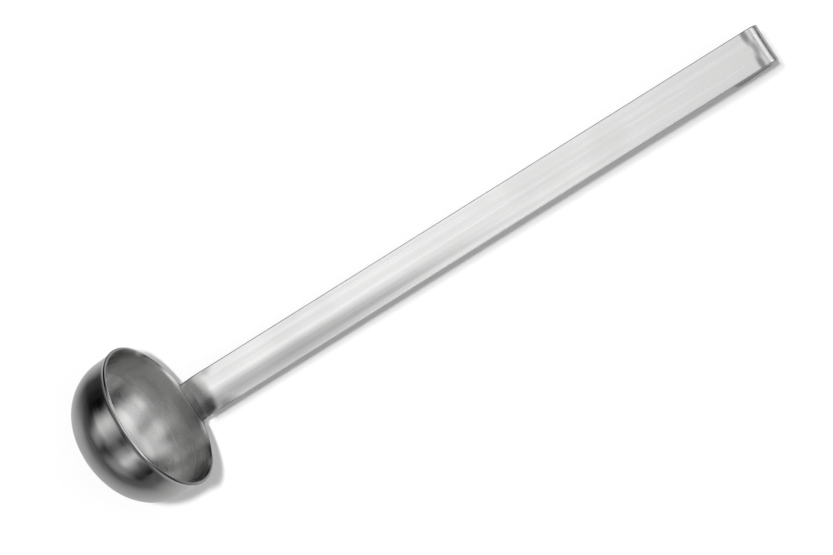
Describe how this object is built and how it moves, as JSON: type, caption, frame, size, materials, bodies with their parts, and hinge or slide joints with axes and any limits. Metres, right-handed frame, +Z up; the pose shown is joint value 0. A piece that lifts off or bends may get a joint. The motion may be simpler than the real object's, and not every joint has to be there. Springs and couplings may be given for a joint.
{
  "type": "soup ladle",
  "caption": "Stainless-steel ladle with a deep round bowl, a flared lip and a flat strap handle whose end is folded back as a hanging hook.",
  "frame": {"origin": "centre of the ladle's box, on the table that it lies on", "axes": "+X along the handle from the bowl to the hook, +Z up from the table, +Y across the handle"},
  "size_m": [0.379, 0.0738, 0.0721],
  "materials": {
    "bowl_steel": "drawn and satin-polished stainless steel",
    "handle_steel": "stainless strap brushed lengthwise, with softened edges",
    "weld_steel": "stainless weld metal, dressed flush in front"
  },
  "bodies": {
    "root": {"bowl": "bowl_steel", "handle": "handle_steel", "weld": "weld_steel"}
  },
  "joints": []
}
